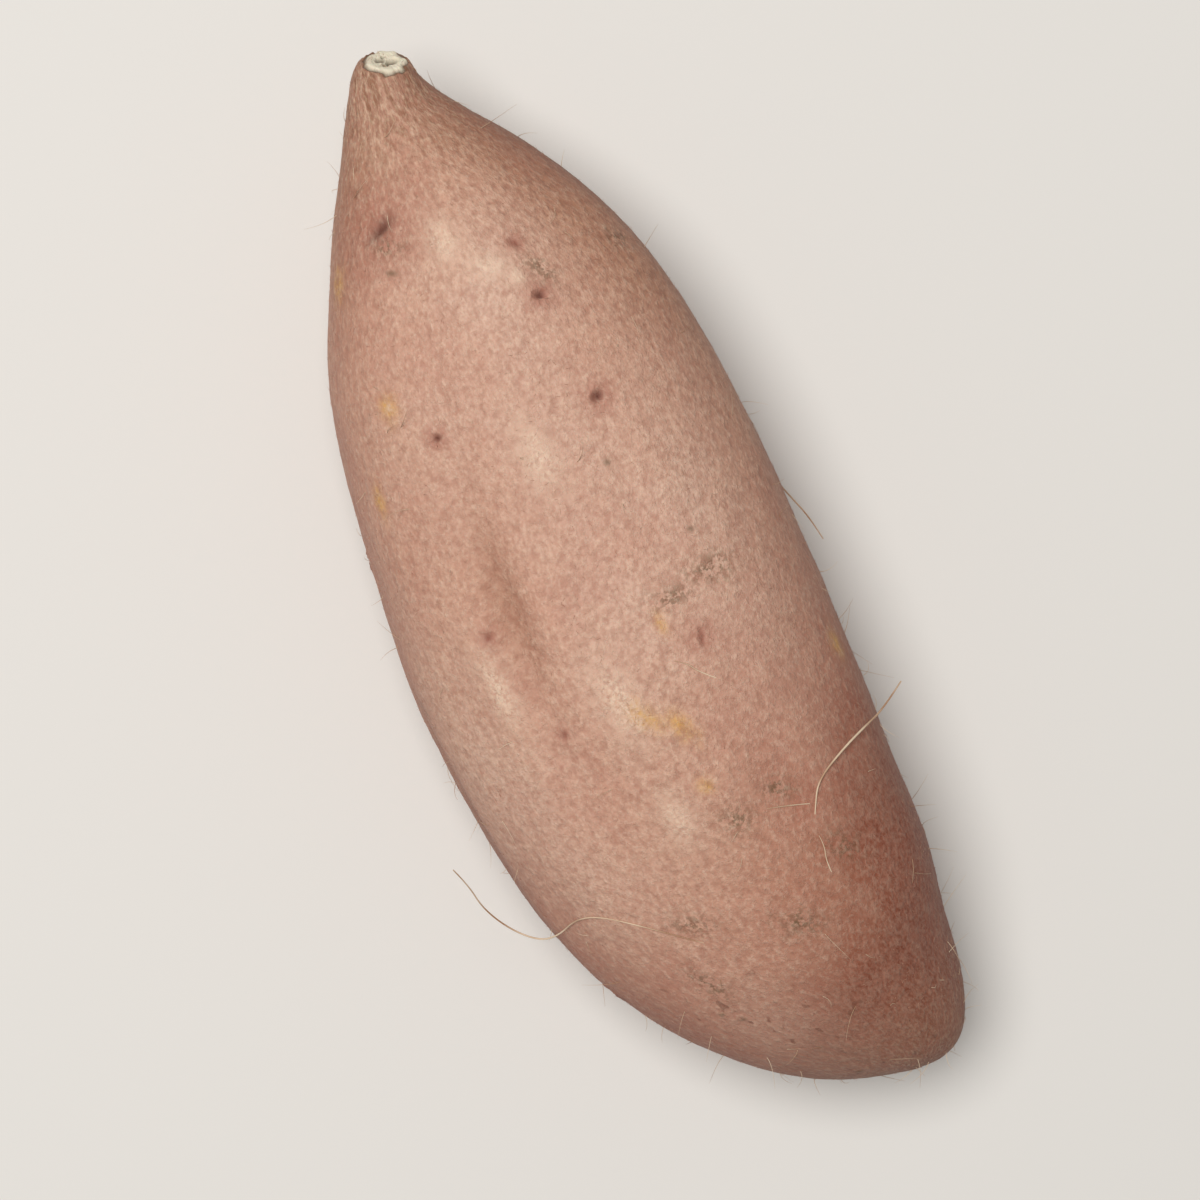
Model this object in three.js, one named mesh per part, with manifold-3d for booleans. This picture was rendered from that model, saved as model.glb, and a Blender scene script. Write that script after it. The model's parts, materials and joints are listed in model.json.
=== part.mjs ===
// A raw sweet potato, lying on its side: one swollen root that tapers to a snapped-off neck at one
// end and to a blunt nose at the other.
//
// Millimetres, +Z up. +X runs from the neck to the nose. The origin is on the surface that the root
// lies on, under the middle of its bounding box.

import * as THREE from "three";
import { mergeVertices } from "three/addons/utils/BufferGeometryUtils.js";
import Module from "manifold-3d";

// Driving sizes.
const rootLength = 167; // along the heart line, from the snapped face to the nose
const bellyWidth = 59; // the widest section, seen from above
const bellyHeight = 55; // the same section, seen from the side
const snapDiameter = 6.4; // the pale round face where the root broke from its stem
const bow = 9.4; // how far the belly swings towards -Y from the line through both ends
const noseSwing = 6.2; // how far the nose swings back towards +Y
const neckRise = 6; // how far the snapped face stands above the belly's heart line
const noseDrop = 2.5; // how far the nose sinks below the belly's heart line
const restDepth = 0.9; // how far the underside is flattened where it lies
const fullFrom = 0.79; // share of the belly's width from which a section is fully oval and knobbly

// Mesh fineness.
const facesAround = 60;
const ringCount = 48;
const weldGap = 1e-4; // corners closer than this are one corner

// The root's fatness: "at" is a share of its length, "fat" a share of the belly's half-width.
const stations = [
  { at: 0.036, fat: 0.2 },
  { at: 0.072, fat: 0.325 },
  { at: 0.108, fat: 0.465 },
  { at: 0.145, fat: 0.59 },
  { at: 0.18, fat: 0.69 },
  { at: 0.25, fat: 0.84 },
  { at: 0.325, fat: 0.912 },
  { at: 0.43, fat: 0.97 },
  { at: 0.53, fat: 1 },
  { at: 0.65, fat: 0.967 },
  { at: 0.72, fat: 0.917 },
  { at: 0.79, fat: 0.835 },
  { at: 0.86, fat: 0.695 },
  { at: 0.935, fat: 0.455 },
  { at: 0.975, fat: 0.27 },
];

// The heart line: "at" is a share of its length, "side" runs towards +Y and "up" towards +Z.
const heartPoints = [
  { at: 0, side: 0, up: neckRise },
  { at: 0.018, side: -0.15 * bow, up: 0.68 * neckRise },
  { at: 0.045, side: -0.23 * bow, up: 0.38 * neckRise },
  { at: 0.1, side: -0.29 * bow, up: 0.16 * neckRise },
  { at: 0.19, side: -0.37 * bow, up: 0.05 * neckRise },
  { at: 0.33, side: -0.56 * bow, up: 0 },
  { at: 0.53, side: -0.92 * bow, up: 0 },
  { at: 0.63, side: -bow, up: -0.1 * noseDrop },
  { at: 0.72, side: -0.92 * bow, up: -0.22 * noseDrop },
  { at: 0.8, side: -0.66 * bow, up: -0.4 * noseDrop },
  { at: 0.89, side: -0.2 * bow, up: -0.7 * noseDrop },
  { at: 1, side: noseSwing, up: -noseDrop },
];

// Broad swellings and hollows: "around" is in degrees from the top towards +Y, "long" and "wide" are
// the reach in millimetres, and "height" is how far the skin stands out, or in where it is negative.
const swellings = [
  { at: 0.2, around: 4, long: 11, wide: 9, height: 0.9 }, // shoulder behind the neck
  { at: 0.16, around: 62, long: 12, wide: 10, height: 0.6 },
  { at: 0.13, around: -30, long: 9, wide: 6, height: -0.6 },
  { at: 0.4, around: -58, long: 16, wide: 9, height: 0.7 },
  { at: 0.455, around: -31, long: 15, wide: 3.4, height: -0.9 }, // long shallow furrow
  { at: 0.56, around: 8, long: 20, wide: 12, height: 0.5 },
  { at: 0.63, around: 40, long: 14, wide: 8, height: -0.6 },
  { at: 0.74, around: -6, long: 12, wide: 10, height: 0.7 },
  { at: 0.83, around: 44, long: 12, wide: 9, height: 0.8 },
  { at: 0.86, around: -34, long: 14, wide: 8, height: -0.5 },
  { at: 0.97, around: 70, long: 5, wide: 5, height: 1.2 }, // root tip at the corner of the nose
  { at: 0.32, around: 112, long: 18, wide: 6, height: -0.7 },
  { at: 0.66, around: 124, long: 16, wide: 9, height: 0.6 },
  { at: 0.28, around: -118, long: 14, wide: 8, height: 0.6 },
  { at: 0.52, around: -124, long: 20, wide: 6, height: -0.8 },
  { at: 0.78, around: -112, long: 13, wide: 8, height: 0.7 },
];

// Shallow ribs that run the length of the root and twist slowly round it.
const ribs = [
  { count: 2, depth: 0.55, twist: 70, start: 20 },
  { count: 3, depth: 0.4, twist: -50, start: 75 },
  { count: 5, depth: 0.22, twist: 35, start: 10 },
];

// Half the root's width at a share of its length. Squares are interpolated, so the nose closes round.
function makeHalfWidth() {
  const neckEnd = { at: 0, fat: snapDiameter / bellyWidth };
  const noseEnd = { at: 1, fat: 0 };
  const knots = [neckEnd, ...stations, noseEnd];
  const squares = new THREE.CubicInterpolant(
    knots.map((knot) => knot.at),
    knots.map((knot) => knot.fat ** 2),
    1,
    new Float32Array(1),
  );
  return (share) => (bellyWidth / 2) * Math.sqrt(Math.max(0, squares.evaluate(share)[0]));
}

function bendOver(span) {
  const points = heartPoints.map((p) => new THREE.Vector3(p.at * span, p.side, p.up));
  return new THREE.CatmullRomCurve3(points, false, "centripetal");
}

// The curve that the root's sections are threaded on: what the bends add is taken off its span.
function makeHeartLine() {
  const addedByBends = bendOver(rootLength).getLength() - rootLength;
  return bendOver(rootLength - addedByBends);
}

// How far the skin stands off its smooth oval at a share of the length and an angle from the top.
function relief(share, angle, halfWidth) {
  let off = 0;
  for (const s of swellings) {
    const along = ((share - s.at) * rootLength) / s.long;
    const turn = Math.atan2(
      Math.sin(angle - THREE.MathUtils.degToRad(s.around)),
      Math.cos(angle - THREE.MathUtils.degToRad(s.around)),
    );
    const across = (turn * halfWidth) / s.wide;
    off += s.height * Math.exp(-(along ** 2) - across ** 2);
  }
  for (const r of ribs) {
    const phase = THREE.MathUtils.degToRad(r.start + r.twist * share);
    off += r.depth * Math.cos(r.count * (angle - phase));
  }
  return off;
}

// The root's outline turned about its axis: "y" is the distance from the snapped face.
function makeSpindle(halfWidth) {
  const outline = [new THREE.Vector2(0, 0)];
  for (let ring = 0; ring < ringCount; ring++) {
    const share = (1 - Math.cos((Math.PI * ring) / ringCount)) / 2;
    outline.push(new THREE.Vector2(halfWidth(share), share * rootLength));
  }
  outline.push(new THREE.Vector2(0, rootLength));
  return new THREE.LatheGeometry(outline, facesAround);
}

// Bends the straight spindle onto the heart line, flattens it to the belly's oval and adds the relief.
function shapeRoot(geometry, halfWidth) {
  const heart = makeHeartLine();
  const up = new THREE.Vector3(0, 0, 1);
  const point = new THREE.Vector3();
  const place = geometry.getAttribute("position");
  for (let i = 0; i < place.count; i++) {
    point.fromBufferAttribute(place, i);
    const share = THREE.MathUtils.clamp(point.y / rootLength, 0, 1);
    const radius = Math.hypot(point.x, point.z);
    const angle = radius > 0 ? Math.atan2(-point.x, point.z) : 0;
    const width = halfWidth(share);
    const fullness = Math.min(1, (width / (fullFrom * bellyWidth / 2)) ** 2);
    const grown = radius > 0 ? radius + relief(share, angle, width) * fullness : 0;
    const oval = THREE.MathUtils.lerp(1, bellyHeight / bellyWidth, fullness);
    const along = heart.getTangentAt(share);
    const side = new THREE.Vector3().crossVectors(up, along).normalize();
    const over = new THREE.Vector3().crossVectors(along, side);
    const at = heart.getPointAt(share);
    at.addScaledVector(side, grown * Math.sin(angle));
    at.addScaledVector(over, grown * Math.cos(angle) * oval);
    place.setXYZ(i, at.x, at.y, at.z);
  }
  return geometry;
}

function toSolid(wasm, geometry) {
  const bare = geometry.clone();
  bare.deleteAttribute("normal");
  bare.deleteAttribute("uv");
  const merged = mergeVertices(bare, weldGap);
  const triVerts = new Uint32Array(merged.index.array);
  const vertProperties = merged.attributes.position.array;
  return new wasm.Manifold(new wasm.Mesh({ numProp: 3, vertProperties, triVerts }));
}

function toGeometry(solid) {
  const mesh = solid.getMesh();
  return new THREE.BufferGeometry()
    .setAttribute("position", new THREE.BufferAttribute(mesh.vertProperties, 3))
    .setIndex(new THREE.BufferAttribute(mesh.triVerts, 1));
}

// Takes a thin slice off the underside, so that the root lies on a small flat spot. The slab that
// cuts it reaches well past the root on every side.
function flattenUnderside(wasm, geometry) {
  geometry.computeBoundingBox();
  const { min, max } = geometry.boundingBox;
  const size = new THREE.Vector3().subVectors(max, min);
  const slab = new THREE.BoxGeometry(2 * size.x, 2 * size.y, size.z);
  const middle = new THREE.Vector3().addVectors(min, max).multiplyScalar(0.5);
  slab.translate(middle.x, middle.y, min.z + restDepth - size.z / 2);
  return toGeometry(toSolid(wasm, geometry).subtract(toSolid(wasm, slab)));
}

// Puts the origin under the middle of the root, on the surface that it lies on.
function setDown(geometry) {
  geometry.computeBoundingBox();
  const { min, max } = geometry.boundingBox;
  geometry.translate(-(min.x + max.x) / 2, -(min.y + max.y) / 2, -min.z);
  geometry.computeVertexNormals();
  return geometry;
}

const wasm = await Module();
wasm.setup();

const halfWidth = makeHalfWidth();
const root = new THREE.Mesh(
  setDown(flattenUnderside(wasm, shapeRoot(makeSpindle(halfWidth), halfWidth))),
  new THREE.MeshStandardMaterial({ color: "#bd8b75", roughness: 0.68, metalness: 0 }),
);
root.name = "sweet_potato";

const sweetPotato = new THREE.Group();
sweetPotato.add(root);

export default sweetPotato;
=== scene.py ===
# A raw sweet potato lying on a pale table: its skin, eyes, scars and rootlets, made around the
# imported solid. The root's own measure runs "along" it in mm from the snapped neck and "around" it
# in degrees from the top, towards +Y.

import json
import math

import bmesh
import bpy
import numpy as np
from mathutils import Matrix, Vector, noise
from mathutils.bvhtree import BVHTree

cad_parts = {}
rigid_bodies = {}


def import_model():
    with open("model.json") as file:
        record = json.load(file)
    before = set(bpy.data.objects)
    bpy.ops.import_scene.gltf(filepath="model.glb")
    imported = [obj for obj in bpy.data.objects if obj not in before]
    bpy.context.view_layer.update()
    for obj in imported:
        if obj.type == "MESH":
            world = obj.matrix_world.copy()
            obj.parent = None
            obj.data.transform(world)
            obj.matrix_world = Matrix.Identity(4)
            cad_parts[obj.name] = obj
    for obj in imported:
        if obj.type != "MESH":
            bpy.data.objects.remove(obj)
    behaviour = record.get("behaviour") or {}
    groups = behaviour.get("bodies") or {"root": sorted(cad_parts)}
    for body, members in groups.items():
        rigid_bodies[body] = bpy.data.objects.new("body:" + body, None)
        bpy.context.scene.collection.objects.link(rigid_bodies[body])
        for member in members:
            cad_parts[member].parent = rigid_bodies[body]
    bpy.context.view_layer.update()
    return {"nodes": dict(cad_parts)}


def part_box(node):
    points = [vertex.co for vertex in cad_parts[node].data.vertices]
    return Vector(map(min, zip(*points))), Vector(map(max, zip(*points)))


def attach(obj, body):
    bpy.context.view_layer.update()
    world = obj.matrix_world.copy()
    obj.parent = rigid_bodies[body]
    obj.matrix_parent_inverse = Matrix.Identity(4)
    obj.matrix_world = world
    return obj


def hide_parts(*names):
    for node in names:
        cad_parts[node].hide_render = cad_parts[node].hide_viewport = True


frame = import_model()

mm = 0.001
cadNode = "sweet_potato"
lowCorner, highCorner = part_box(cadNode)


# Small helpers.

def linear(hexColour):  # a socket's linear colour from an sRGB hex one
    parts = [int(hexColour[i:i + 2], 16) / 255 for i in (1, 3, 5)]
    bent = [p / 12.92 if p <= 0.04045 else ((p + 0.055) / 1.055) ** 2.4 for p in parts]
    return (*bent, 1.0)


def addNode(tree, kind, settings=None, sockets=None):  # a socket's value may be another node's output
    node = tree.nodes.new(kind)
    for name, value in (settings or {}).items():
        setattr(node, name, value)
    for name, value in (sockets or {}).items():
        if isinstance(value, bpy.types.NodeSocket):
            tree.links.new(value, node.inputs[name])
        else:
            node.inputs[name].default_value = value
    return node


def startTree(name, sizes):  # a geometry node tree with one named input for each size
    tree = bpy.data.node_groups.new(name, "GeometryNodeTree")
    tree.interface.new_socket("Geometry", in_out="INPUT", socket_type="NodeSocketGeometry")
    tree.interface.new_socket("Geometry", in_out="OUTPUT", socket_type="NodeSocketGeometry")
    for label, value in sizes.items():
        kind = "NodeSocketInt" if isinstance(value, int) else "NodeSocketFloat"
        tree.interface.new_socket(label, in_out="INPUT", socket_type=kind)
    return tree, addNode(tree, "NodeGroupInput")


def runTree(tree, sizes, source, name):  # the tree's result on a source object, as a plain mesh object
    modifier = source.modifiers.new(name, "NODES")
    modifier.node_group = tree
    for item in tree.interface.items_tree:
        if item.in_out == "INPUT" and item.name in sizes:
            modifier[item.identifier] = sizes[item.name]
    graph = bpy.context.evaluated_depsgraph_get()
    mesh = bpy.data.meshes.new_from_object(source.evaluated_get(graph), depsgraph=graph)
    source.modifiers.remove(modifier)
    mesh.name = name
    piece = bpy.data.objects.new(name, mesh)
    bpy.context.scene.collection.objects.link(piece)
    return piece


def modified(piece):  # applies the modifiers that stand on a piece
    graph = bpy.context.evaluated_depsgraph_get()
    mesh = bpy.data.meshes.new_from_object(piece.evaluated_get(graph), depsgraph=graph)
    piece.modifiers.clear()
    piece.data = mesh


def corners(mesh):
    co = np.empty(len(mesh.vertices) * 3)
    mesh.vertices.foreach_get("co", co)
    return co.reshape(-1, 3)


def normals(mesh):
    out = np.empty(len(mesh.vertices) * 3)
    mesh.vertex_normals.foreach_get("vector", out)
    return out.reshape(-1, 3)


def smoothStep(low, high, value):
    t = np.clip((value - low) / (high - low), 0, 1)
    return t * t * (3 - 2 * t)


# Camera and light.

studio = {
    "cameraSide": (-0.095, -0.042, 0.6),  # from the root's middle to the camera, in metres
    "imageRight": (0.482, 0.876, 0),  # the frame's right-hand way, along the table
    "lens": 130,
    "nearest": 0.01,  # the camera sees nothing nearer than this, in metres
    "keySide": (-0.54, -0.27, 1.67),  # a big soft box, high and a little left of the camera
    "keySize": 0.9,
    "keyPower": 32.0,
    "skyColour": "#F1F0EE",
    "skyStrength": 0.24,
    "floorColour": "#DAD6D0",
    "floorSize": 6.0,
    "floorRoughness": 0.9,
}


def aim(thing, place, target, right):  # looks from place to target, with "right" to its right
    back = (place - target).normalized()
    across = (right - back * right.dot(back)).normalized()
    up = back.cross(across)
    turn = Matrix((across, up, back)).transposed()
    thing.matrix_world = Matrix.Translation(place) @ turn.to_4x4()


def makeStudio():
    scene = bpy.context.scene
    middle = (lowCorner + highCorner) / 2
    camera = bpy.data.objects.new("camera", bpy.data.cameras.new("camera"))
    scene.collection.objects.link(camera)
    camera.data.lens = studio["lens"]
    camera.data.clip_start = studio["nearest"]
    aim(camera, middle + Vector(studio["cameraSide"]), middle, Vector(studio["imageRight"]))
    scene.camera = camera

    key = bpy.data.objects.new("soft_box", bpy.data.lights.new("soft_box", "AREA"))
    scene.collection.objects.link(key)
    key.data.shape = "DISK"
    key.data.size = studio["keySize"]
    key.data.energy = studio["keyPower"]
    aim(key, middle + Vector(studio["keySide"]), middle, Vector(studio["imageRight"]))

    world = bpy.data.worlds.new("studio")
    world.use_nodes = True
    sky = world.node_tree.nodes["Background"]
    sky.inputs["Color"].default_value = linear(studio["skyColour"])
    sky.inputs["Strength"].default_value = studio["skyStrength"]
    scene.world = world
    scene.view_settings.view_transform = "Standard"

    half = studio["floorSize"] / 2
    mesh = bpy.data.meshes.new("table")
    edge = [(-half, -half, 0), (half, -half, 0), (half, half, 0), (-half, half, 0)]
    mesh.from_pydata(edge, [], [(0, 1, 2, 3)])
    floor = bpy.data.objects.new("table", mesh)
    scene.collection.objects.link(floor)
    paint = bpy.data.materials.new("matt_white_paint_rolled")  # a plain pale ground with no shine
    paint.use_nodes = True
    shader = paint.node_tree.nodes["Principled BSDF"]
    shader.inputs["Base Color"].default_value = linear(studio["floorColour"])
    shader.inputs["Roughness"].default_value = studio["floorRoughness"]
    mesh.materials.append(paint)


makeStudio()
print("studio: camera, soft box and table")


# The root's measure.

measure = {
    "stations": 34,
    "slab": 1.2 * mm,  # half the thickness of the slice that gives one station's middle
    "endClear": 2 * mm,  # how far the first and last stations stand in from the ends
    "softenings": 2,  # rounds in which each middle is averaged with its neighbours
}


def heartLine(places):  # the root's middle at each station along X
    clear = measure["endClear"]
    x = np.linspace(lowCorner.x + clear, highCorner.x - clear, measure["stations"])
    middles = []
    for station in x:
        ring = places[np.abs(places[:, 0] - station) < measure["slab"], 1:]
        middles.append((ring.min(0) + ring.max(0)) / 2)
    middles = np.array(middles)
    for _ in range(measure["softenings"]):
        padded = np.pad(middles, ((1, 1), (0, 0)), mode="edge")
        middles = padded[:-2] / 4 + padded[1:-1] / 2 + padded[2:] / 4
    return x, middles


def middleAt(heart, x):
    stations, middles = heart
    return np.interp(x, stations, middles[:, 0]), np.interp(x, stations, middles[:, 1])


def onRoot(places, heart):  # along in mm, around in degrees and the distance from the heart in mm
    y, z = middleAt(heart, places[:, 0])
    side, up = places[:, 1] - y, places[:, 2] - z
    along = (places[:, 0] - lowCorner.x) / mm
    return along, np.degrees(np.arctan2(side, up)), np.hypot(side, up) / mm


# Skin body.

body = {
    "weld": 0.001 * mm,  # corners nearer than this are one
    "facetTurn": 35,  # degrees between triangles that still make one flat face
    "roundings": 2,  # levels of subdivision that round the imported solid's facets
    "voxel": 0.66 * mm,
    "smoothing": 12,
    "smoothShare": 0.5,
    "fineNeck": 7,  # mm from the snapped face that get finer faces
}


def makeBody():
    cad = frame["nodes"][cadNode]
    mesh = cad.data.copy()
    mesh.materials.clear()
    shell = bmesh.new()
    shell.from_mesh(mesh)
    bmesh.ops.remove_doubles(shell, verts=shell.verts, dist=body["weld"])
    flatTurn = math.radians(body["facetTurn"])
    bmesh.ops.join_triangles(
        shell, faces=shell.faces, angle_face_threshold=flatTurn, angle_shape_threshold=flatTurn)
    # The snapped face is a fan of triangles, and its hub has the most faces of any corner on that half.
    hub = max((v for v in shell.verts if v.co.x < 0), key=lambda v: len(v.link_faces))
    snap = {"at": np.array(hub.co), "out": np.array(hub.normal)}
    snap["radius"] = max((e.other_vert(hub).co - hub.co).length for e in hub.link_edges)
    shell.to_mesh(mesh)
    shell.free()
    piece = bpy.data.objects.new("skin", mesh)
    bpy.context.scene.collection.objects.link(piece)
    soften = piece.modifiers.new("round", "SUBSURF")
    soften.levels = soften.render_levels = body["roundings"]
    modified(piece)
    remesh = piece.modifiers.new("even", "REMESH")
    remesh.mode = "VOXEL"
    remesh.voxel_size = body["voxel"]
    modified(piece)
    smooth = piece.modifiers.new("smooth", "SMOOTH")
    smooth.iterations = body["smoothing"]
    smooth.factor = body["smoothShare"]
    modified(piece)
    return piece, snap


skin, snap = makeBody()
heart = heartLine(corners(skin.data))
print("body:", len(skin.data.vertices), "corners, snapped face", round(snap["radius"] / mm, 2), "mm")


# Eyes, spots, scuffs and other marks.

# Each mark is (along, around, long, wide, turn): long and wide are its reach in mm, and turn is the
# angle in degrees from the root's length. Depth, lip and pucker are heights in mm, and halo is a
# multiple of long.
marks = {
    "eye": {  # dimples where a side root or bud sat, with a dark floor, puckers and a rosy halo
        "depth": 0.5,
        "lip": 0.12,
        "pucker": 0.1,
        "halo": 3.3,
        "at": [
            (21.8, -36, 2.2, 0.95, -62), (49.6, -35, 0.6, 0.5, 60), (39, 16, 0.75, 0.45, 75),
            (54.5, 18, 0.8, 0.6, 80), (31, 96, 1.1, 0.6, 85), (68, 118, 0.9, 0.6, 80),
            (112, 101, 1.0, 0.6, 95), (139, 128, 0.8, 0.5, 90), (44, 158, 0.8, 0.5, 90),
            (88, 164, 0.9, 0.6, 75), (126, -170, 0.8, 0.5, 90), (28, -112, 0.9, 0.5, 80),
            (63, -100, 1.0, 0.6, 95), (97, -128, 0.8, 0.5, 85), (133, -88, 0.9, 0.6, 100),
            (149, -140, 0.7, 0.5, 90),
        ],
    },
    "streak": {  # faint rosy slits and dents
        "depth": 0.18,
        "lip": 0.05,
        "pucker": 0.03,
        "halo": 2.0,
        "at": [
            (89.7, 17, 1.2, 0.4, -20), (31.5, 18, 0.9, 0.5, 30), (76.7, -41, 0.8, 0.7, 0),
            (93.1, -32, 0.6, 0.5, 0),
        ],
    },
    "speck": {  # crumbs and dots of olive and dark brown
        "depth": -0.12,
        "lip": 0.03,
        "pucker": 0,
        "halo": 1.5,
        "at": [
            (62.8, 12, 0.5, 0.5, 40), (76.2, 27, 0.45, 0.4, 70), (27.6, -34, 0.8, 0.35, 60),
            (159.2, -39, 0.6, 0.4, 80), (140.2, -45, 0.5, 0.4, 80), (142.2, -40, 0.5, 0.4, 80),
        ],
    },
    "yellow": {  # soft yellow-orange spots where the cork has lifted
        "depth": -0.06,
        "lip": 0,
        "pucker": 0,
        "halo": 1.6,
        "at": [
            (26.2, -69, 2.2, 1.6, 0), (43.3, -48, 1.7, 1.4, 10), (54.3, -63, 1.9, 1.1, 0),
            (101.9, 63, 2.0, 1.5, 20), (85.3, 8, 1.4, 0.6, 0), (107.9, 0, 1.1, 0.9, 0),
            (95.5, -7, 2.8, 1.4, 30), (98.6, 1, 2.4, 1.3, 20), (70, 150, 1.6, 1.0, 10),
            (118, -100, 1.3, 0.9, 0), (40, -140, 1.5, 0.8, 20), (128, 120, 1.2, 1.0, 0),
        ],
    },
    "pale": {  # flecks and worn patches where the skin is thin, and painted highlights on the swelling near the neck and along the top
        "depth": -0.08,
        "lip": 0,
        "pucker": 0,
        "halo": 1.4,
        "at": [
            (22.6, -40, 1.3, 0.5, -60), (43.3, -47.5, 0.6, 0.45, 20), (35.5, 12, 1.2, 0.9, 0),
            (26.7, -7, 3.2, 1.8, 0), (32.6, 5, 2.4, 1.5, 70), (110.4, -12, 3.4, 1.8, 0),
            (58, -6, 5, 2.2, 0), (84, -44, 6, 1.8, 0), (92, -12, 6, 2.6, 0),
            (54, 84, 3.6, 0.9, 8), (96, 104, 4.2, 0.8, -6), (74, -112, 4.4, 1.0, 5),
        ],
    },
    "scuff": {  # olive-brown scuffed bands that lie across the root
        "depth": 0.1,
        "lip": 0,
        "pucker": 0,
        "halo": 1.4,
        "at": [
            (82.8, 14, 3.4, 1.5, 78), (82.2, 28, 4.2, 1.9, 78), (113.5, 19, 2.6, 1.6, 60),
            (114.2, 4, 2.8, 1.8, 60), (132, 4, 4.0, 2.2, 60), (125.8, 30, 3.6, 2.0, 40),
            (125.6, -27, 3.6, 1.9, 60), (38, 60, 2.6, 1.6, 70), (24.5, -33, 2.6, 1.2, 70),
            (36, 21, 2.6, 1.6, 30), (135, -38, 4.4, 1.4, 20), (60, 135, 3.0, 1.4, 80),
            (100, 150, 2.4, 1.3, 70), (52, -160, 3.2, 1.5, 85), (108, -105, 2.6, 1.4, 80),
            (124, 175, 2.4, 1.6, 75), (84, -84, 2.2, 1.0, 80),
        ],
    },
}

carving = {
    "ragged": 0.35,  # share by which a mark's edge wanders
    "raggedOften": 700,  # waves of that in a metre
    "lipAt": 1.9,  # this and the next three are multiples of a mark's own reach
    "lipWide": 0.55,
    "farthest": 4,
    "puckerFrom": (0.8, 2),
    "puckerRays": 11,  # fine folds that run out from a dimple
    "puckerWander": 9,  # radians by which they wander
    "fineReach": 2.1,  # mm round an eye, streak or speck that get finer faces
    "finestShare": 0.75,  # of that reach gets faces finer still
    "fineBulge": 0.6,  # how far new corners are pushed out to keep the skin round
}

# Hollows and swellings that run with the root: (along, around, long, wide, height), in mm and degrees.
folds = [
    (74, -33, 12, 2.2, -1.15), (84, -44, 15, 3.6, 0.5), (76, -20, 16, 4.0, 0.5), (56, -31, 10, 3.0, -0.4),
    (32, 6, 8, 6, 0.6), (46, -12, 16, 5, 0.45), (68, 15, 11, 2.6, -0.4), (112, 22, 12, 5, -0.55),
    (109, -5, 13, 6, 0.5), (98, -36, 9, 3, -0.35), (122, -16, 9, 6, -0.35), (140, 40, 14, 8, -0.4),
    (120, 60, 16, 6, 0.5), (24, 52, 12, 5, -0.4), (58, 112, 26, 4, -1.0), (66, 96, 22, 4, 0.6),
    (104, 136, 22, 5, 0.8), (126, 112, 14, 4, -0.7), (50, -120, 22, 4, -0.9), (64, -102, 20, 4, 0.6),
    (112, -110, 18, 5, 0.8), (96, -88, 14, 3, -0.6),
]


def markPlace(tree, along, around):  # where a mark sits, with the skin's normal and its two ways
    x = lowCorner.x + along * mm
    y, z = middleAt(heart, x)
    turn = math.radians(around)
    point, normal, _, _ = tree.ray_cast(Vector((x, y, z)), Vector((0, math.sin(turn), math.cos(turn))))
    lengthwise = (Vector((1, 0, 0)) - normal * normal.x).normalized()
    return np.array(point), np.array(normal), np.array(lengthwise), np.array(normal.cross(lengthwise))


def refine(piece, balls):  # halves the faces inside each ball, which is a middle and a reach
    shell = bmesh.new()
    shell.from_mesh(piece.data)
    places = np.array([v.co for v in shell.verts])
    near = np.zeros(len(places), bool)
    for middle, reach in balls:
        near |= ((places - middle) ** 2).sum(1) < reach ** 2
    edges = [e for e in shell.edges if near[e.verts[0].index] and near[e.verts[1].index]]
    bmesh.ops.subdivide_edges(shell, edges=edges, cuts=1, use_grid_fill=True, smooth=carving["fineBulge"])
    shell.to_mesh(piece.data)
    shell.free()


def surfaceTree(piece):
    shell = bmesh.new()
    shell.from_mesh(piece.data)
    tree = BVHTree.FromBMesh(shell)
    shell.free()
    return tree


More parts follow.
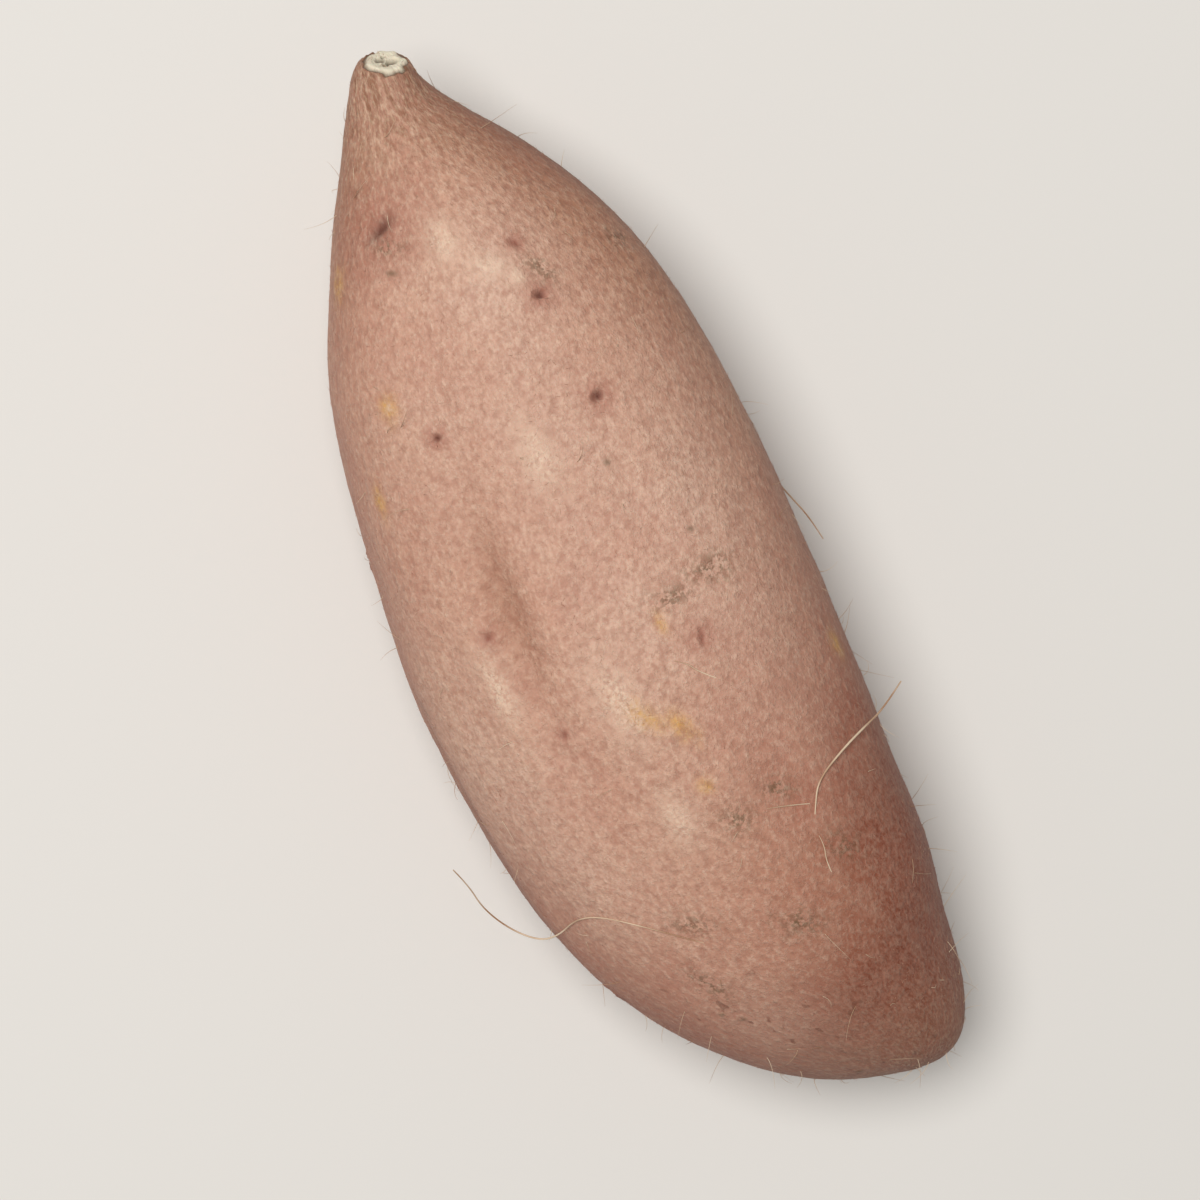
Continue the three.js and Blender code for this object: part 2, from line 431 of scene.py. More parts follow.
def carveMarks(piece):
    tree = surfaceTree(piece)
    placed = [
        (kind, mark, markPlace(tree, mark[0], mark[1])) for kind in marks for mark in marks[kind]["at"]]
    small = ("eye", "streak", "speck")
    fine = [(place[0], carving["fineReach"] * mm) for kind, mark, place in placed if kind in small]
    fine.append((snap["at"], body["fineNeck"] * mm))
    refine(piece, fine)
    fine = [(middle, reach * carving["finestShare"]) for middle, reach in fine]
    refine(piece, fine)

    places = corners(piece.data)
    out = normals(piece.data)
    masks = {kind: np.zeros(len(places)) for kind in marks}
    masks["halo"] = np.zeros(len(places))
    push = np.zeros(len(places))
    for kind, mark, (point, normal, lengthwise, across) in placed:
        spec = marks[kind]
        long, wide, turn = mark[2], mark[3], math.radians(mark[4])
        rel = (places - point) / mm
        near = ((rel ** 2).sum(1) < (carving["farthest"] * long) ** 2) & (out @ normal > 0)
        rel = rel[near]
        a, b = rel @ lengthwise, rel @ across
        ragged = np.array([noise.noise(Vector(p) * carving["raggedOften"]) for p in places[near]])
        onLength = a * math.cos(turn) + b * math.sin(turn)
        onWidth = b * math.cos(turn) - a * math.sin(turn)
        reach = np.hypot(onLength / long, onWidth / wide)
        reach = reach * (1 + carving["ragged"] * ragged)
        core = np.exp(-reach ** 2)
        rim = np.exp(-((reach - carving["lipAt"]) / carving["lipWide"]) ** 2)
        wideSpot = np.exp(-(np.hypot(a, b) / (spec["halo"] * long)) ** 2)
        rays = np.cos(carving["puckerRays"] * np.arctan2(b, a) + carving["puckerWander"] * ragged)
        rays = rays * wideSpot * smoothStep(*carving["puckerFrom"], reach)
        push[near] += spec["lip"] * rim - spec["depth"] * core + spec["pucker"] * rays
        masks[kind][near] = np.maximum(masks[kind][near], core)
        if kind in ("eye", "streak"):
            masks["halo"][near] = np.maximum(masks["halo"][near], wideSpot)

    along, around, radius = onRoot(places, heart)
    deepest = min(folds, key=lambda fold: fold[4])
    for fold in folds:
        at, turn, long, wide, height = fold
        away = ((around - turn + 180) % 360 - 180) * np.pi / 180 * radius / wide
        spread = np.exp(-((along - at) / long) ** 2 - away ** 2)
        push += height * spread
        if fold is deepest:  # the deepest one also gets painted shade in its crease
            masks["furrow"] = spread
    places = places + out * (push * mm)[:, None]
    return places, masks


# The snapped face: a pale, corky plate with a few open vessels, a groove round it and a torn rim. Its
# sizes are in mm, and heights are measured out from the face.
snapFace = {
    "dish": 0.25,
    "groove": 0.35,
    "grooveOut": 0.15,  # how far outside the plate's edge the groove lies
    "grooveWide": 0.3,
    "grooveFrom": (-1.6, -0.8),  # heights over which the groove sets in
    "ragged": 0.22,
    "raggedOften": 900,  # waves in a metre
    "raggedDeep": 1.6,
    "raggedWide": 1.5,  # share of the face's radius
    "edgeShare": 0.86,  # the plate's radius as a share of the face's
    "edgeWander": 0.55,
    "edgeSoft": 0.35,
    "plateFrom": (-1.5, -0.9),  # heights over which the plate sets in
    "vessels": [  # side, up and radius
        (-0.8, 0.15, 0.75), (0.75, -0.35, 0.6), (0.1, 0.9, 0.4), (0.2, -1.2, 0.3),
    ],
    "vesselDepth": 0.9,
}


def carveSnap(places, masks):
    out = snap["out"]
    radius = snap["radius"] / mm
    side = np.cross([0, 0, 1.0], out)
    side /= np.linalg.norm(side)
    up = np.cross(out, side)
    rel = (places - snap["at"]) / mm
    a, b, c = rel @ side, rel @ up, rel @ out
    r = np.hypot(a, b)
    near = (np.abs(c) < snapFace["raggedDeep"]) & (r < radius * snapFace["raggedWide"])
    rough = np.zeros(len(places))
    rough[near] = [noise.noise(Vector(p) * snapFace["raggedOften"]) for p in places[near]]
    edge = radius * snapFace["edgeShare"] + snapFace["edgeWander"] * rough
    soft = snapFace["edgeSoft"]
    plate = smoothStep(soft, -soft, r - edge) * smoothStep(*snapFace["plateFrom"], c)
    ring = np.exp(-((r - edge - snapFace["grooveOut"]) / snapFace["grooveWide"]) ** 2)
    ring = ring * smoothStep(*snapFace["grooveFrom"], c)
    push = snapFace["ragged"] * rough * plate
    push = push - snapFace["dish"] * plate * (1 - (r / radius) ** 2) - snapFace["groove"] * ring
    masks["vessel"] = np.zeros(len(places))
    for x, y, size in snapFace["vessels"]:
        hole = np.exp(-(np.hypot(a - x, b - y) / size) ** 4) * plate
        push -= snapFace["vesselDepth"] * hole
        masks["vessel"] = np.maximum(masks["vessel"], hole)
    masks["plate"] = plate
    masks["ring"] = ring
    return places + out * (push * mm)[:, None]


places, masks = carveMarks(skin)
places = carveSnap(places, masks)
print("marks:", sum(len(spec["at"]) for spec in marks.values()), "and the snapped face")


# Broad colour patches.

# Each patch is (along, around, long, wide, amount): long and wide are its reach in mm. The first four
# tint the skin, dotty and streaky bring out fine patterns, and hairy adds hairs.
patches = {
    # Blush: the skin's own rosy tint, and painted shade in the long bands along the flanks and at the nose
    # end.
    "blushAndPaintedShade": [
        (150, 40, 22, 20, 1.0), (126, 68, 30, 14, 0.8), (100, 60, 24, 9, 0.2), (144, -70, 26, 15, 0.65),
        (60, 90, 60, 9, 0.5), (95, -84, 60, 6, 0.4), (118, 28, 14, 11, 0.6), (22, -62, 16, 8, 0.05),
        (66, -14, 18, 8, 0.15), (96, 175, 34, 20, 0.7), (50, 140, 20, 16, 0.5),
        (60, -110, 26, 16, 0.6), (118, -120, 24, 16, 0.6), (86, 30, 14, 8, 0.25),
    ],
    # Deep: the skin's own deep red, and painted shade in the bands along the flanks at about 80 to 95
    # degrees and at the nose end.
    "deepAndPaintedShade": [
        (156, 44, 16, 18, 0.9), (134, 66, 26, 13, 0.9), (156, -20, 10, 22, 0.25), (156, 16, 13, 16, 0.8),
        (124, 46, 14, 9, 0.4), (148, -74, 20, 11, 0.5), (20, 78, 22, 8, 0.9), (60, 94, 46, 6, 0.8),
        (100, 88, 24, 5, 0.6), (12, -66, 18, 5, 0.45), (110, -92, 26, 5, 0.7), (163, 0, 6, 30, 0.6),
        (60, 170, 14, 8, 0.4), (120, 160, 20, 10, 0.5), (80, -140, 20, 8, 0.4),
    ],
    "tan": [
        (12, 10, 12, 14, 0.5), (18, 70, 18, 10, 1.0), (36, 76, 16, 10, 0.8), (14, -64, 18, 7, 0.8),
        (38, 53, 14, 9, 0.5), (62, 68, 30, 8, 0.5), (100, -4, 14, 9, 0.35), (74, -34, 10, 3.5, 0.55),
        (128, 10, 18, 12, 0.35), (110, 100, 20, 14, 0.4), (30, -150, 18, 14, 0.5),
        (135, 160, 16, 14, 0.4), (160, 0, 9, 30, 0.5), (78, -150, 18, 10, 0.35),
    ],
    # Cream: pale dusty skin, and painted light along the top and on the swelling near the neck.
    "creamAndPaintedLight": [
        (88, 32, 24, 8, 0.6), (69, 32, 16, 8, 0.35), (98, -62, 18, 8, 0.5), (108, -50, 20, 8, 0.65),
        (149, -34, 12, 9, 0.6), (8, -10, 12, 10, 0.4), (46, -44, 20, 8, 0.3), (33, 5, 10, 9, 0.65),
        (64, 2, 26, 9, 0.5), (86, -6, 20, 11, 0.5), (110, -12, 12, 9, 0.2), (45, -20, 16, 10, 0.35),
        (80, -70, 24, 10, 0.3), (60, 165, 16, 12, 0.3),
    ],
    "dotty": [(158, 0, 16, 70, 1.0), (140, -60, 14, 20, 0.7), (10, 0, 10, 30, 0.4)],
    "streaky": [(3, 0, 12, 70, 1.0), (162, 0, 8, 70, 0.4)],
    "hairy": [
        (6, 0, 10, 40, 0.7), (158, 0, 14, 60, 1.0), (118, 84, 40, 9, 0.6), (60, 88, 40, 8, 0.4),
        (70, -92, 50, 8, 0.4), (120, -90, 36, 9, 0.6),
    ],
}


def paintPatches(places, masks):
    along, around, radius = onRoot(places, heart)
    for name, spots in patches.items():
        total = np.zeros(len(places))
        for at, turn, long, wide, amount in spots:
            apart = (around - turn + 180) % 360 - 180
            across = np.radians(apart) * radius
            total += amount * np.exp(-((along - at) / long) ** 2 - (across / wide) ** 2)
        masks[name] = np.clip(total, 0, 1)


grainRadius = 22 * mm  # of the root where its grain is at its true size


def writeMasks(piece, places, masks):  # and the grain, a place along and across the root for patterns
    mesh = piece.data
    mesh.vertices.foreach_set("co", places.ravel())
    for name, values in masks.items():
        mesh.attributes.new(name, "FLOAT", "POINT").data.foreach_set("value", values.astype(np.float32))
    y, z = middleAt(heart, places[:, 0])
    side = np.stack([places[:, 1] - y, places[:, 2] - z], 1)
    narrow = np.sqrt(grainRadius / np.maximum(np.linalg.norm(side, axis=1), 1 * mm))
    grain = np.column_stack([places[:, 0] - lowCorner.x, side * narrow[:, None]])
    stored = mesh.attributes.new("grain", "FLOAT_VECTOR", "POINT")
    stored.data.foreach_set("vector", grain.astype(np.float32).ravel())
    mesh.update()


paintPatches(places, masks)
writeMasks(skin, places, masks)
print("patches:", ", ".join(patches))


# Skin material.

# Sweet potato skin, grown: a thin matt cork over pale flesh. It has soft rosy and tan clouds, a felt
# of fine light flecks that runs with the root's length, and no clear highlight. The real grain is too
# fine to show, so fleck, fine and pore are drawn as coarse as they need to be.
skinFinish = {
    "base": "#C1947E",
    "roughness": 0.66,
    "gloss": 0.25,
    "sheen": 0.03,
    "sheenRoughness": 0.5,
    "flesh": 0.05,  # subsurface share
    "fleshDepth": 1.5,  # mm that light goes into it
    "patternRoughness": 0.55,
    # Size in mm, stretch along the root, detail, folded or not, and where the mask starts and ends.
    "patterns": {
        "cloud": (13, 1.7, 3, False, 0.42, 0.66),
        "mottle": (3.6, 1.5, 4, False, 0.36, 0.74),
        "fleck": (0.7, 1.4, 3, False, 0.42, 0.7),
        "fibre": (1.7, 1.3, 4, True, 0.03, 0.0),
        "fine": (0.45, 1.3, 2, False, 0.34, 0.68),
        "pore": (1.0, 1.2, 4, False, 0.4, 0.72),
        "dot": (1.7, 1.2, 1, False, 0.68, 0.74),
        "speckle": (0.75, 1.0, 4, False, 0.45, 0.55),
        "lines": (1.1, 9.0, 2, False, 0.44, 0.64),
    },
    "tints": [  # colour, the masks that multiply, and strength
        # rosy skin, and painted shade on the flanks and the nose end
        ("#99492E", ("blushAndPaintedShade",), 0.85),
        # deep red skin, and painted shade on the flanks and the nose end
        ("#762F17", ("deepAndPaintedShade",), 0.7),
        ("#AA7859", ("tan",), 0.7),
        # pale skin, and painted light on the top and the swelling near the neck
        ("#D1B09B", ("creamAndPaintedLight",), 0.85),
        ("#AE705D", ("cloud",), 0.28),
        ("#CFA68D", ("mottle",), 0.3),
        ("#99594A", ("halo",), 0.6),
        ("#CB9A52", ("yellow",), 0.95),
        ("#665138", ("scuff", "speckle"), 0.9),
        ("#DDBDA5", ("fleck",), 0.34),
        ("#E0C2AA", ("fibre",), 0.16),
        # a second layer of the same deep red and painted shade
        ("#5E2A14", ("deepAndPaintedShade",), 0.5),
        ("#96624F", ("pore",), 0.45),
        ("#7A4F38", ("pore", "tan"), 0.42),
        ("#A87662", ("fine",), 0.4),
        # pale worn flecks, and painted highlights on the top and the swelling near the neck
        ("#DCC2AA", ("pale",), 0.15),
        ("#DFC3AA", ("pale", "fine"), 0.8),
        ("#6B4130", ("dot", "dotty"), 0.6),
        ("#82563B", ("lines", "streaky"), 0.6),
        ("#D9BC9C", ("fleck", "streaky"), 0.35),
        ("#7A4030", ("streak",), 0.6),
        ("#655038", ("speck",), 0.7),
        ("#54261A", ("eye",), 0.85),
        # painted shade in the deepest furrow
        ("#93654F", ("furrow",), 0.4),
        ("#54361F", ("ring",), 0.95),
        ("#E4DAC2", ("plate",), 0.95),
        ("#46351F", ("vessel",), 0.95),
    ],
    "bumps": [  # pattern and height in mm
        ("mottle", 0.08), ("fleck", 0.05), ("fibre", 0.03), ("fine", 0.02), ("pore", -0.04),
    ],
}


def makeSkinMaterial(maskNames):
    material = bpy.data.materials.new("sweet_potato_skin_grown")
    material.use_nodes = True
    tree = material.node_tree
    shader = tree.nodes["Principled BSDF"]
    grain = addNode(tree, "ShaderNodeAttribute", {"attribute_name": "grain"})
    masks = {}
    for name, (size, stretch, detail, folded, start, end) in skinFinish["patterns"].items():
        drawn = addNode(tree, "ShaderNodeVectorMath", {"operation": "MULTIPLY"}, {
            0: grain.outputs["Vector"], 1: (1 / stretch, 1, 1)})
        wave = addNode(tree, "ShaderNodeTexNoise", None, {
            "Vector": drawn.outputs[0], "Scale": 1 / (size * mm), "Detail": detail,
            "Roughness": skinFinish["patternRoughness"]})
        if folded:  # thin lines where the noise crosses its middle
            middle = addNode(tree, "ShaderNodeMath", {"operation": "SUBTRACT"}, {
                0: wave.outputs[0], 1: 0.5})
            wave = addNode(tree, "ShaderNodeMath", {"operation": "ABSOLUTE"}, {0: middle.outputs[0]})
        masks[name] = addNode(tree, "ShaderNodeMapRange", {"interpolation_type": "SMOOTHSTEP"}, {
            "Value": wave.outputs[0], "From Min": start, "From Max": end}).outputs[0]
    for name in maskNames:
        masks[name] = addNode(tree, "ShaderNodeAttribute", {"attribute_name": name}).outputs["Fac"]

    colour = linear(skinFinish["base"])
    for tint, names, strength in skinFinish["tints"]:
        share = strength
        for name in names:
            share = addNode(tree, "ShaderNodeMath", {"operation": "MULTIPLY"}, {
                0: masks[name], 1: share}).outputs[0]
        colour = addNode(tree, "ShaderNodeMix", {"data_type": "RGBA"}, {
            0: share, 6: colour, 7: linear(tint)}).outputs[2]
    tree.links.new(colour, shader.inputs["Base Color"])

    height = 0.0
    for name, rise in skinFinish["bumps"]:
        height = addNode(tree, "ShaderNodeMath", {"operation": "MULTIPLY_ADD"}, {
            0: masks[name], 1: rise * mm, 2: height}).outputs[0]
    bump = addNode(tree, "ShaderNodeBump", None, {"Strength": 1.0, "Distance": 1.0, "Height": height})
    tree.links.new(bump.outputs[0], shader.inputs["Normal"])

    shader.inputs["Roughness"].default_value = skinFinish["roughness"]
    shader.inputs["Specular IOR Level"].default_value = skinFinish["gloss"]
    shader.inputs["Sheen Weight"].default_value = skinFinish["sheen"]
    shader.inputs["Sheen Roughness"].default_value = skinFinish["sheenRoughness"]
    shader.inputs["Subsurface Weight"].default_value = skinFinish["flesh"]
    shader.inputs["Subsurface Scale"].default_value = skinFinish["fleshDepth"] * mm
    return material


skinMaterial = makeSkinMaterial(list(masks))
print("skin material done")


# Relief of the skin.

relief = {
    "Knob Size": 19 * mm,
    "Knob Height": 1.1 * mm,
    "Lump Size": 6 * mm,
    "Lump Height": 0.35 * mm,
    "Wrinkle Spacing": 2.0 * mm,
    "Wrinkle Depth": 0.14 * mm,
    "Felt Size": 1.3 * mm,
    "Felt Height": 0.09 * mm,
    "Level Spot": 2.5 * mm,  # height over the table at which the relief is whole
}


def makeRelief():
    tree, sizes = startTree("skinRelief", relief)
    grain = addNode(tree, "GeometryNodeInputNamedAttribute", {"data_type": "FLOAT_VECTOR"}, {
        "Name": "grain"})
    # Each layer's size, height, squeeze along and across the root (under 1 draws it out) and detail.
    layers = [
        ("Knob Size", "Knob Height", (0.6, 1, 1), 1),
        ("Lump Size", "Lump Height", (0.6, 1, 1), 2),
        ("Wrinkle Spacing", "Wrinkle Depth", (1, 0.22, 0.22), 2),
        ("Felt Size", "Felt Height", (0.7, 1, 1), 1),
    ]
    total = None
    for size, height, stretch, detail in layers:
        drawn = addNode(tree, "ShaderNodeVectorMath", {"operation": "MULTIPLY"}, {
            0: grain.outputs[0], 1: stretch})
        often = addNode(tree, "ShaderNodeMath", {"operation": "DIVIDE"}, {0: 1.0, 1: sizes.outputs[size]})
        wave = addNode(tree, "ShaderNodeTexNoise", None, {
            "Vector": drawn.outputs[0], "Scale": often.outputs[0], "Detail": detail, "Roughness": 0.5})
        middle = addNode(tree, "ShaderNodeMath", {"operation": "SUBTRACT"}, {0: wave.outputs[0], 1: 0.5})
        scaled = addNode(tree, "ShaderNodeMath", {"operation": "MULTIPLY_ADD"}, {
            0: middle.outputs[0], 1: sizes.outputs[height], 2: total.outputs[0] if total else 0.0})
        total = scaled
    place = addNode(tree, "GeometryNodeInputPosition")
    parts = addNode(tree, "ShaderNodeSeparateXYZ", None, {0: place.outputs[0]})
    level = addNode(tree, "ShaderNodeMapRange", {"interpolation_type": "SMOOTHSTEP"}, {
        "Value": parts.outputs["Z"], "From Min": 0.0, "From Max": sizes.outputs["Level Spot"]})
    held = addNode(tree, "ShaderNodeMath", {"operation": "MULTIPLY"}, {
        0: total.outputs[0], 1: level.outputs[0]})
    normal = addNode(tree, "GeometryNodeInputNormal")
    push = addNode(tree, "ShaderNodeVectorMath", {"operation": "SCALE"}, {
        0: normal.outputs[0], "Scale": held.outputs[0]})
    moved = addNode(tree, "GeometryNodeSetPosition", None, {
        "Geometry": sizes.outputs["Geometry"], "Offset": push.outputs[0]})
    whole = addNode(tree, "GeometryNodeRealizeInstances", None, {0: moved.outputs[0]})
    done = addNode(tree, "GeometryNodeSetMaterial", None, {
        "Geometry": whole.outputs[0], "Material": skinMaterial})
    addNode(tree, "NodeGroupOutput", None, {"Geometry": done.outputs[0]})
    return tree


plainSkin = skin
skin = runTree(makeRelief(), relief, plainSkin, "skin_body")
bpy.data.objects.remove(plainSkin)
places = corners(skin.data)
places[:, 2] = np.maximum(places[:, 2], 0)  # nothing sinks into the table
skin.data.vertices.foreach_set("co", places.ravel())
skin.data.polygons.foreach_set("use_smooth", np.ones(len(skin.data.polygons), bool))
skin.data.update()
print("relief:", len(skin.data.polygons), "faces")

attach(skin, "root")
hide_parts(cadNode)


# Fuzz, rootlets and threads.

# Root hairs dried onto the skin: pale straw-coloured fibres, round and slightly glossy. The nap is
# the skin's own colour, so that it softens the outline without a bright rim. Patch is the size in mm
# of the pale and brown stretches.
hairFinishes = {
    "sweet_potato_root_hair_dried": {"pale": "#D9C2A6", "brown": "#A67F61", "roughness": 0.5, "patch": 7},
    "sweet_potato_skin_nap_dried": {"pale": "#C49A80", "brown": "#9A6650", "roughness": 0.65, "patch": 11},
}
hairGloss = 0.25
hairTurn = (0.4, 0.65)  # noise at which pale starts to turn, and at which it is all brown


def makeHairMaterial(name):
    finish = hairFinishes[name]
    material = bpy.data.materials.new(name)
    material.use_nodes = True
    tree = material.node_tree
    shader = tree.nodes["Principled BSDF"]
    where = addNode(tree, "ShaderNodeTexCoord")
    wave = addNode(tree, "ShaderNodeTexNoise", None, {
        "Vector": where.outputs["Object"], "Scale": 1 / (finish["patch"] * mm), "Detail": 2})
    share = addNode(tree, "ShaderNodeMapRange", None, {
        "Value": wave.outputs[0], "From Min": hairTurn[0], "From Max": hairTurn[1]})
    colour = addNode(tree, "ShaderNodeMix", {"data_type": "RGBA"}, {
        0: share.outputs[0], 6: linear(finish["pale"]), 7: linear(finish["brown"])})
    tree.links.new(colour.outputs[2], shader.inputs["Base Color"])
    shader.inputs["Roughness"].default_value = finish["roughness"]
    shader.inputs["Specular IOR Level"].default_value = hairGloss
    return material


hairs = {
    "skin_fuzz": {  # a short nap, drawn several times as thick as the real one so that it shows
        "Density": 0.2e6,  # hairs on a square metre of skin
        "Extra Density": 0.1e6,  # added where the skin is hairy
        "Shortest": 0.3 * mm,
        "Longest": 0.75 * mm,
        "Thickness": 0.06 * mm,
        "Least Lean": 1.1,  # from the skin's normal, in radians
        "Most Lean": 1.5,
        "Curl": 0.12 * mm,
        "Joints": 3,
        "Table Clear": 1.4 * mm,  # no hairs under this height
        "Table Full": 6 * mm,
        "Seed": 11,
    },
    "rootlets": {  # stray fibres of side roots
        "Density": 0.003e6,
        "Extra Density": 0.03e6,
        "Shortest": 1.5 * mm,
        "Longest": 4.5 * mm,
        "Thickness": 0.11 * mm,
        "Least Lean": 0.5,
        "Most Lean": 1.45,
        "Curl": 1.8 * mm,
        "Joints": 7,
        "Table Clear": 3 * mm,
        "Table Full": 9 * mm,
        "Seed": 5,
    },
}
tipShare = 0.1  # a hair's radius at its tip, as a share of its thickness


def makeHairTree(name, sizes, material):
    tree, given = startTree(name, sizes)
    size = {socket.name: socket for socket in given.outputs}
    hairy = addNode(tree, "GeometryNodeInputNamedAttribute", {"data_type": "FLOAT"}, {"Name": "hairy"})
    wanted = addNode(tree, "ShaderNodeMath", {"operation": "MULTIPLY_ADD"}, {
        0: hairy.outputs[0], 1: size["Extra Density"], 2: size["Density"]})
    spot = addNode(tree, "GeometryNodeInputPosition")
    spotParts = addNode(tree, "ShaderNodeSeparateXYZ", None, {0: spot.outputs[0]})
    clear = addNode(tree, "ShaderNodeMapRange", {"interpolation_type": "SMOOTHSTEP"}, {
        "Value": spotParts.outputs["Z"], "From Min": size["Table Clear"], "From Max": size["Table Full"]})
    density = addNode(tree, "ShaderNodeMath", {"operation": "MULTIPLY"}, {
        0: wanted.outputs[0], 1: clear.outputs[0]})
    roots = addNode(tree, "GeometryNodeDistributePointsOnFaces", None, {
        "Mesh": size["Geometry"], "Density": density.outputs[0], "Seed": size["Seed"]})
    leastLean = addNode(tree, "ShaderNodeCombineXYZ", None, {"X": size["Least Lean"]})
    mostLean = addNode(tree, "ShaderNodeCombineXYZ", None, {"X": size["Most Lean"], "Z": 2 * math.pi})
    lean = addNode(tree, "FunctionNodeRandomValue", {"data_type": "FLOAT_VECTOR"}, {
        0: leastLean.outputs[0], 1: mostLean.outputs[0], "Seed": size["Seed"]})
    turned = addNode(tree, "FunctionNodeRotateRotation", {"rotation_space": "LOCAL"}, {
        0: roots.outputs["Rotation"], 1: lean.outputs[0]})
    length = addNode(tree, "FunctionNodeRandomValue", {"data_type": "FLOAT"}, {
        2: size["Shortest"], 3: size["Longest"], "Seed": size["Seed"]})
    line = addNode(tree, "GeometryNodeCurvePrimitiveLine", None, {"End": (0, 0, 1)})
    strand = addNode(tree, "GeometryNodeResampleCurve", None, {
        "Curve": line.outputs[0], "Count": size["Joints"]})
    placed = addNode(tree, "GeometryNodeInstanceOnPoints", None, {
        "Points": roots.outputs["Points"], "Instance": strand.outputs[0], "Rotation": turned.outputs[0],
        "Scale": length.outputs[1]})
    real = addNode(tree, "GeometryNodeRealizeInstances", None, {0: placed.outputs[0]})
    sway = addNode(tree, "FunctionNodeRandomValue", {"data_type": "FLOAT_VECTOR"}, {
        0: (-1, -1, -1), 1: (1, 1, 1), "Seed": size["Seed"]})
    oneSway = addNode(tree, "GeometryNodeFieldOnDomain", {"data_type": "FLOAT_VECTOR", "domain": "CURVE"}, {
        0: sway.outputs[0]})
    share = addNode(tree, "GeometryNodeSplineParameter")
    bent = addNode(tree, "ShaderNodeMath", {"operation": "POWER"}, {  # most bent near its tip
        0: share.outputs["Factor"], 1: 2.0})
    reach = addNode(tree, "ShaderNodeMath", {"operation": "MULTIPLY"}, {
        0: bent.outputs[0], 1: size["Curl"]})
    offset = addNode(tree, "ShaderNodeVectorMath", {"operation": "SCALE"}, {
        0: oneSway.outputs[0], "Scale": reach.outputs[0]})
    curled = addNode(tree, "GeometryNodeSetPosition", None, {
        "Geometry": real.outputs[0], "Offset": offset.outputs[0]})
    at = addNode(tree, "GeometryNodeInputPosition")
    atParts = addNode(tree, "ShaderNodeSeparateXYZ", None, {0: at.outputs[0]})
    half = addNode(tree, "ShaderNodeMath", {"operation": "MULTIPLY"}, {0: size["Thickness"], 1: 0.5})
    lowest = addNode(tree, "ShaderNodeMath", {"operation": "MAXIMUM"}, {  # keeps the hair above the table
        0: atParts.outputs["Z"], 1: size["Thickness"]})
    heldUp = addNode(tree, "ShaderNodeCombineXYZ", None, {
        "X": atParts.outputs["X"], "Y": atParts.outputs["Y"], "Z": lowest.outputs[0]})
    rested = addNode(tree, "GeometryNodeSetPosition", None, {
        "Geometry": curled.outputs[0], "Position": heldUp.outputs[0]})
    tip = addNode(tree, "ShaderNodeMath", {"operation": "MULTIPLY"}, {0: size["Thickness"], 1: tipShare})
    thin = addNode(tree, "ShaderNodeMapRange", None, {
        "Value": share.outputs["Factor"], "To Min": half.outputs[0], "To Max": tip.outputs[0]})
    ring = addNode(tree, "GeometryNodeCurvePrimitiveCircle", None, {"Resolution": 3, "Radius": 1.0})
    tubes = addNode(tree, "GeometryNodeCurveToMesh", None, {
        "Curve": rested.outputs[0], "Profile Curve": ring.outputs[0], "Scale": thin.outputs[0],
        "Fill Caps": True})
    whole = addNode(tree, "GeometryNodeRealizeInstances", None, {0: tubes.outputs[0]})
    done = addNode(tree, "GeometryNodeSetMaterial", None, {
        "Geometry": whole.outputs[0], "Material": material})
    addNode(tree, "NodeGroupOutput", None, {"Geometry": done.outputs[0]})
    return tree


hairMaterials = {name: makeHairMaterial(name) for name in hairFinishes}
hairOf = {"skin_fuzz": "sweet_potato_skin_nap_dried", "rootlets": "sweet_potato_root_hair_dried"}
for name, sizes in hairs.items():
    piece = runTree(makeHairTree(name, sizes, hairMaterials[hairOf[name]]), sizes, skin, name)
    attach(piece, "root")
    print(name + ":", len(piece.data.polygons), "faces")


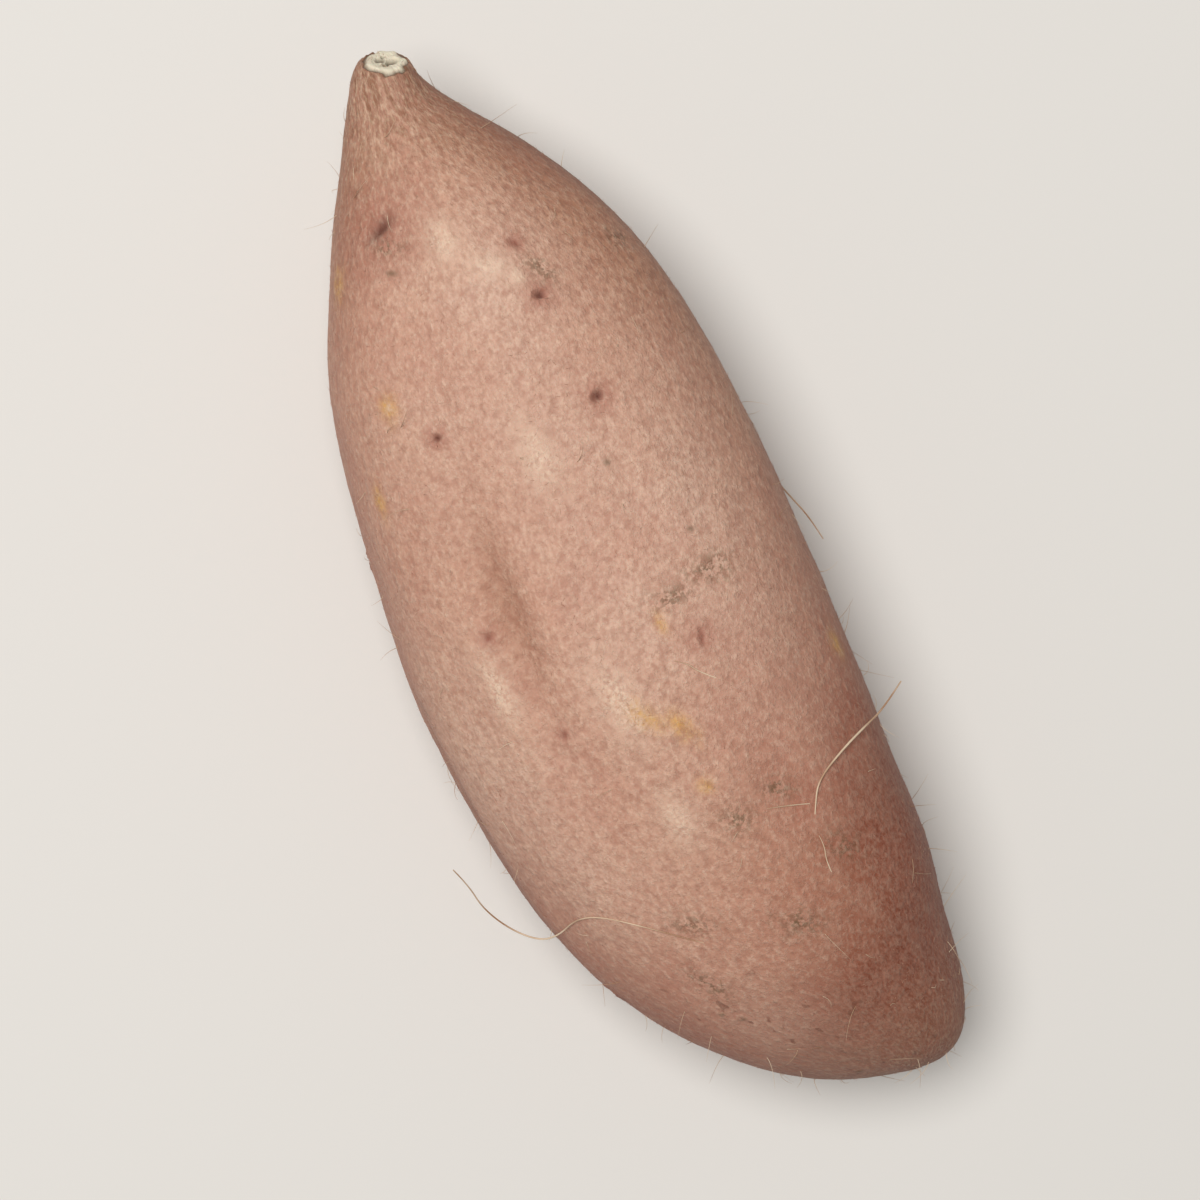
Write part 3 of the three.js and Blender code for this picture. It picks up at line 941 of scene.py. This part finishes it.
# A thread's points are (along, around, height over the skin in mm), from its fixed end to its tip,
# and its thickness is in mm.
threads = {
    "thread_long": {
        "thickness": 0.34,
        "points": [
            (119.5, 26, 0.0), (118.5, 27, 0.25), (115.4, 31, 0.6), (113.7, 43, 0.9), (113.2, 55, 1.2),
            (113.2, 64, 2.0), (111.5, 72, 5.0),
        ],
    },
    "thread_curled": {
        "thickness": 0.26,
        "points": [
            (128.5, -28, 0.0), (127, -31, 0.3), (122.6, -41, 0.35), (119, -52, 0.3), (118.4, -62, 0.5),
            (120.5, -76, 0.9), (120.5, -84, 2.4), (117, -86, 4.6), (112, -83, 6.4), (107.5, -79, 6.6),
            (104.5, -77, 7.6),
        ],
    },
    "thread_short": {
        "thickness": 0.2,
        "points": [(115.1, 13, 0.0), (115.8, 17, 0.2), (117.3, 24, 0.1), (117.8, 26, 0.0)],
    },
    "thread_flat": {
        "thickness": 0.2,
        "points": [(122.4, 24, 0.0), (124, 24, 0.15), (126, 22, 0.15), (127.9, 22, 0.0)],
    },
    "thread_scratch": {
        "thickness": 0.2,
        "points": [(90.6, 7, 0.0), (91.6, 10, 0.1), (93.5, 12, 0.1), (95.5, 16, 0.0)],
    },
    "thread_under": {
        "thickness": 0.26,
        "points": [
            (74, 112, 0.0), (75, 108, 0.4), (78, 101, 0.9), (83, 97, 1.6), (87, 96, 2.9), (91, 98, 3.8),
        ],
    },
}
threadShape = {
    "roundness": 2,
    "steps": 5,  # between one point and the next
    "order": 3,
    "thickestAt": 0.6,  # share of the way to the tip
    "thinning": 0.55,  # share of its thickness that is gone at its fixed end
}


def makeThread(name, spec, tree):
    path = bpy.data.curves.new(name, "CURVE")
    path.dimensions = "3D"
    path.bevel_depth = spec["thickness"] / 2 * mm
    path.bevel_resolution = threadShape["roundness"]
    path.resolution_u = threadShape["steps"]
    path.use_fill_caps = True
    line = path.splines.new("NURBS")
    last = len(spec["points"]) - 1
    line.points.add(last)
    line.order_u = threadShape["order"]
    line.use_endpoint_u = True
    thickest = threadShape["thickestAt"]
    for i, (along, around, height) in enumerate(spec["points"]):
        point, normal, _, _ = markPlace(tree, along, around)
        line.points[i].co = (*(point + normal * height * mm), 1)
        line.points[i].radius = 1 - threadShape["thinning"] * abs(i / last - thickest) / thickest
    bent = bpy.data.objects.new(name, path)
    bpy.context.scene.collection.objects.link(bent)
    graph = bpy.context.evaluated_depsgraph_get()
    mesh = bpy.data.meshes.new_from_object(bent.evaluated_get(graph), depsgraph=graph)
    bpy.data.objects.remove(bent)
    piece = bpy.data.objects.new(name, mesh)
    bpy.context.scene.collection.objects.link(piece)
    piece.data.materials.clear()
    piece.data.materials.append(hairMaterials["sweet_potato_root_hair_dried"])
    return piece


skinTree = surfaceTree(skin)
for name, spec in threads.items():
    thread = makeThread(name, spec, skinTree)
    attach(thread, "root")
print("threads:", len(threads))
